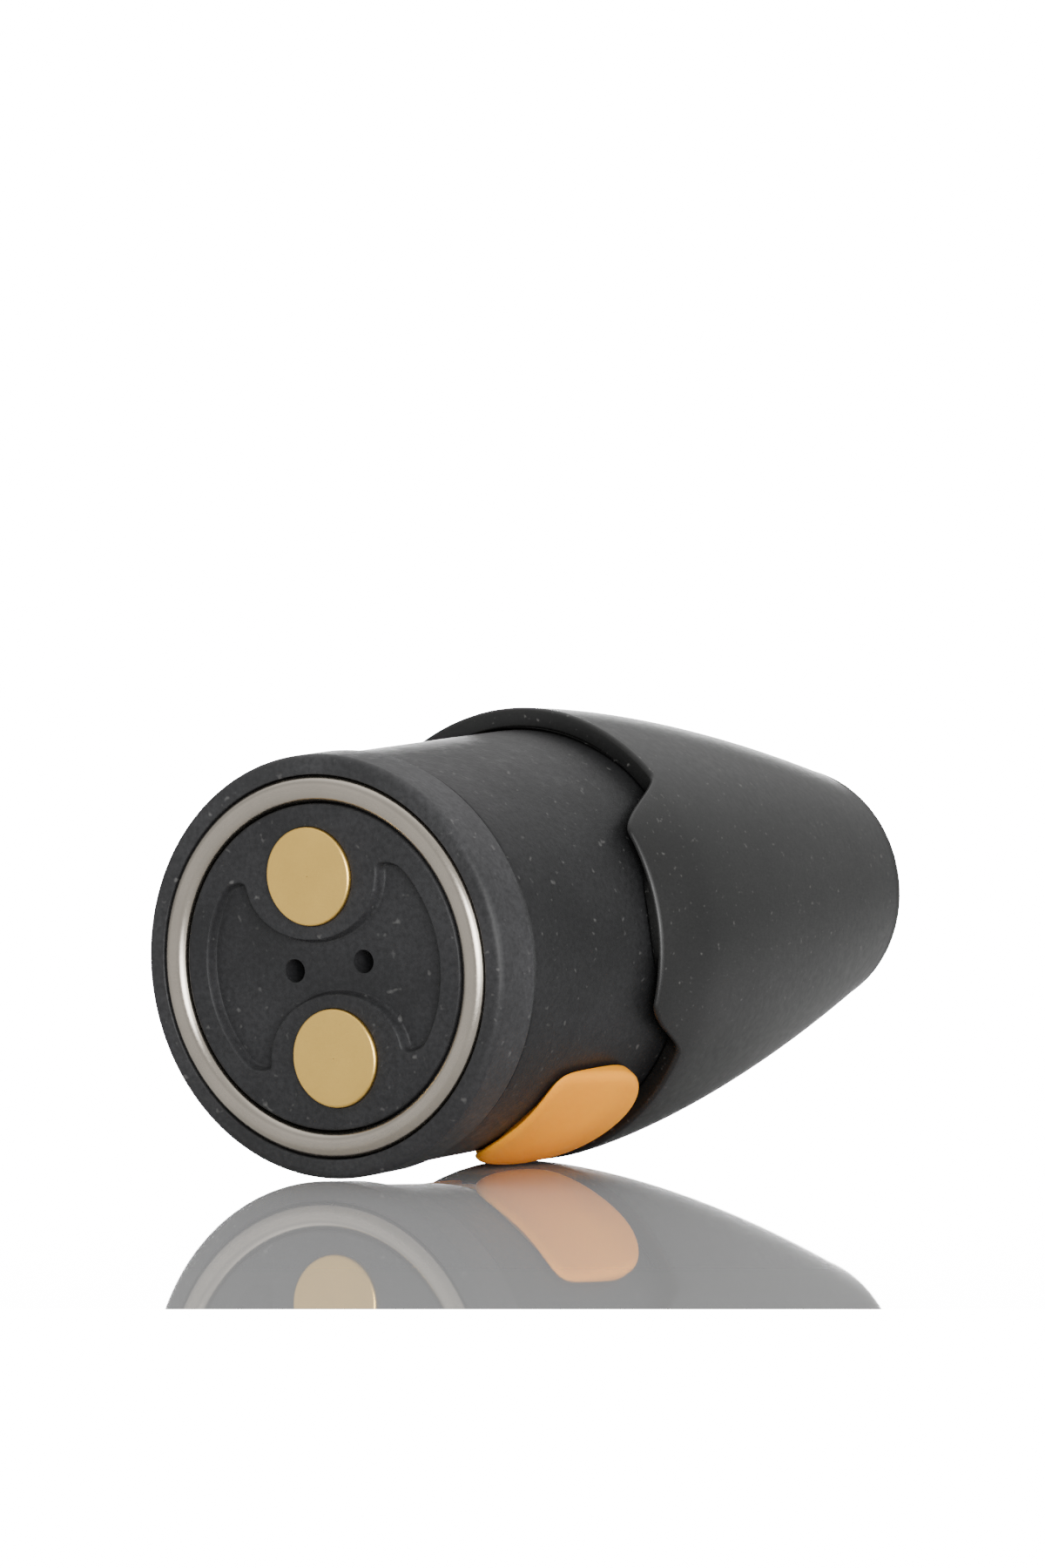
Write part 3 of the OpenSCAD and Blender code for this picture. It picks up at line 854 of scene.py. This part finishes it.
def rest_plane():
    """The table that the pod lies on: a point on it and its upward normal."""
    elevation = math.radians(1.9)
    normal = (UP * math.cos(elevation) - AHEAD * math.sin(elevation)).normalized()
    down = Vector((-normal.x, -normal.y, 0)).normalized()
    edge = down * CAP_R + Vector((0, 0, CAP_FACE_Z + CAP_ROUND))
    belly = down * BELLY_R + Vector((0, 0, BELLY_Z))
    contact = min((edge, belly), key=lambda p: p.dot(normal))
    return contact, normal


def one_sided(name, shader_of):
    """A stage material seen only from its front, so that no view is blocked from behind."""
    m = Nodes(name)
    m.tree.nodes.remove(m.shader)
    behind = m.add("ShaderNodeNewGeometry").outputs["Backfacing"]
    clear = m.add("ShaderNodeBsdfTransparent").outputs[0]
    surface = m.add("ShaderNodeMixShader", {0: behind, 1: shader_of(m), 2: clear}).outputs[0]
    m.tree.links.new(surface, m.tree.nodes["Material Output"].inputs["Surface"])
    return m.material


def white_gloss(m):
    """Polished white acrylic: a mirror at a grazing angle over a pale body."""
    white = m.add("ShaderNodeBsdfDiffuse", {"Color": (0.6, 0.6, 0.6, 1)}).outputs[0]
    mirror = m.add("ShaderNodeBsdfGlossy", {"Color": (1, 1, 1, 1), "Roughness": 0.015}).outputs[0]
    share = m.add("ShaderNodeFresnel", {"IOR": 1.5}).outputs[0]
    return m.add("ShaderNodeMixShader", {0: share, 1: white, 2: mirror}).outputs[0]


def white_matt(m):
    return m.add("ShaderNodeBsdfDiffuse", {"Color": (0.9, 0.9, 0.9, 1)}).outputs[0]


def plane(name, point, along, across, spans, material):
    """A rectangle on a point, from spans[0] to spans[1] along and from spans[2] to spans[3] across."""
    corners = [point + along * a + across * b for a, b in
               ((spans[0], spans[2]), (spans[1], spans[2]), (spans[1], spans[3]), (spans[0], spans[3]))]
    made = new_object(name, corners, [(0, 1, 2, 3)])
    made.data.materials.append(material)
    return made


def make_stage():
    """The polished table that the pod lies on, and a matt floor under its contact end."""
    point, normal = rest_plane()
    side = (RIGHT - normal * RIGHT.dot(normal)).normalized()
    back = normal.cross(side)
    plane("table", point - normal * 0.02 * MM, side, back, (-0.6, 0.6, -TABLE_FRONT, 1.5),
          one_sided("table_gloss", white_gloss))
    floor = plane("floor", Vector((0, 0, -0.02 * MM)), Vector((1, 0, 0)), Vector((0, 1, 0)),
                  (-0.6, 0.6, -0.6, 0.6), one_sided("floor_matt", white_matt))
    for ray in ("diffuse", "glossy", "transmission", "shadow"):
        setattr(floor, "visible_" + ray, False)


def make_world():
    """A white studio: bright behind the pod, dim round the camera, with soft boxes to its right."""
    world = bpy.data.worlds.new("studio")
    bpy.context.scene.world = world
    world.use_nodes = True
    tree = world.node_tree
    nodes, links = tree.nodes, tree.links

    def math_node(operation, a, b):
        node = nodes.new("ShaderNodeMath")
        node.operation = operation
        for socket, value in ((0, a), (1, b)):
            if isinstance(value, bpy.types.NodeSocket):
                links.new(value, node.inputs[socket])
            else:
                node.inputs[socket].default_value = value
        return node.outputs[0]

    towards = nodes.new("ShaderNodeTexCoord").outputs["Generated"]

    def lobe(direction, inner, outer, low, high):
        """Strength high within inner degrees of direction, easing to low at outer degrees."""
        dot = nodes.new("ShaderNodeVectorMath")
        dot.operation = "DOT_PRODUCT"
        links.new(towards, dot.inputs[0])
        dot.inputs[1].default_value = direction.normalized()
        spread = nodes.new("ShaderNodeMapRange")
        spread.interpolation_type = "SMOOTHSTEP"
        links.new(dot.outputs["Value"], spread.inputs["Value"])
        for socket, value in (("From Min", math.cos(math.radians(outer))),
                              ("From Max", math.cos(math.radians(inner))),
                              ("To Min", low), ("To Max", high)):
            spread.inputs[socket].default_value = value
        return spread.outputs[0]

    strength = lobe(UP, 0, 130, *SKY)
    for direction, inner, outer, power in LIGHT_LOBES:
        strength = math_node("ADD", strength, lobe(direction, inner, outer, 0, power))
    seen = nodes.new("ShaderNodeLightPath").outputs["Is Camera Ray"]
    picked = nodes.new("ShaderNodeMix")
    links.new(seen, picked.inputs[0])
    links.new(strength, picked.inputs[2])
    picked.inputs[3].default_value = BACKGROUND
    links.new(picked.outputs[0], nodes["Background"].inputs["Strength"])
    nodes["Background"].inputs["Color"].default_value = (1, 1, 1, 1)


make_camera()
make_stage()
make_world()
make_shell()
make_tank()
make_cap()
make_ring()
make_contact("contact_positive", 1)
make_contact("contact_negative", -1)
make_insert()
make_plug()
paint_inner_nodes()
